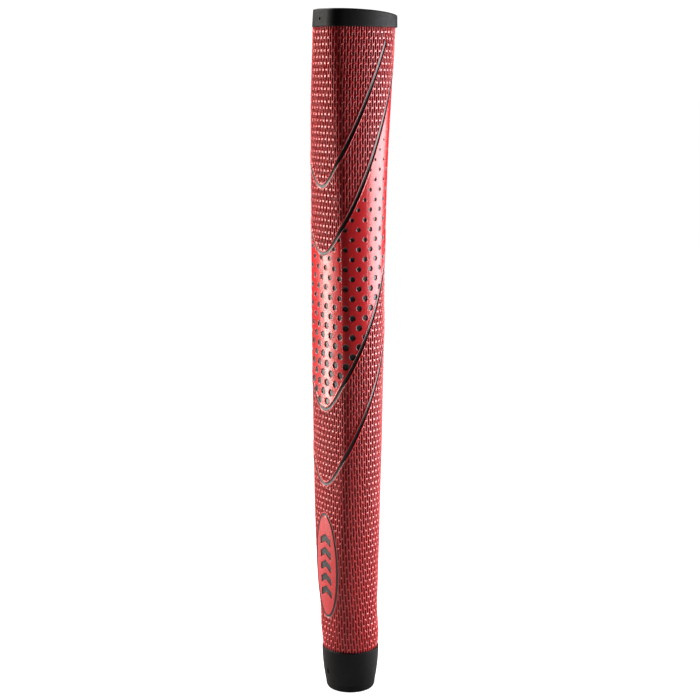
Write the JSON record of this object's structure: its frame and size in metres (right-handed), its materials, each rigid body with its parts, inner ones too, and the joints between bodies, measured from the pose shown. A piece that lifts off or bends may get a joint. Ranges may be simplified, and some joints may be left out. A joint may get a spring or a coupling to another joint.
{
  "type": "putter grip",
  "caption": "Oversize pistol-shaped putter grip: embossed polymer skin on a foam body, with a rubber shaft sleeve, a domed butt cap and a tapered mouth cap.",
  "frame": {"origin": "centre of the shaft bore at the mouth end face", "axes": "+Z along the shaft axis from the mouth to the butt; -Y is the way the flat thumb side faces; +Y is the pistol side; X = 0 is the plane of symmetry"},
  "size_m": [0.0296, 0.034, 0.273],
  "materials": {
    "sleeve_rubber": "matt black rubber",
    "body_foam": "closed-cell foam, fine matt cells",
    "backing_felt": "dense grey non-woven felt",
    "skin_polymer": "satin red polyurethane, embossed, with black-filled grooves and dimples",
    "seam_polymer": "satin red bonded seam",
    "cap_rubber": "satin black moulded rubber"
  },
  "bodies": {
    "root": {"shaft_sleeve": "sleeve_rubber", "foam_body": "body_foam", "felt_backing": "backing_felt", "polymer_skin": "skin_polymer", "seam_bead": "seam_polymer", "mouth_cap": "cap_rubber", "butt_cap": "cap_rubber"}
  },
  "joints": []
}
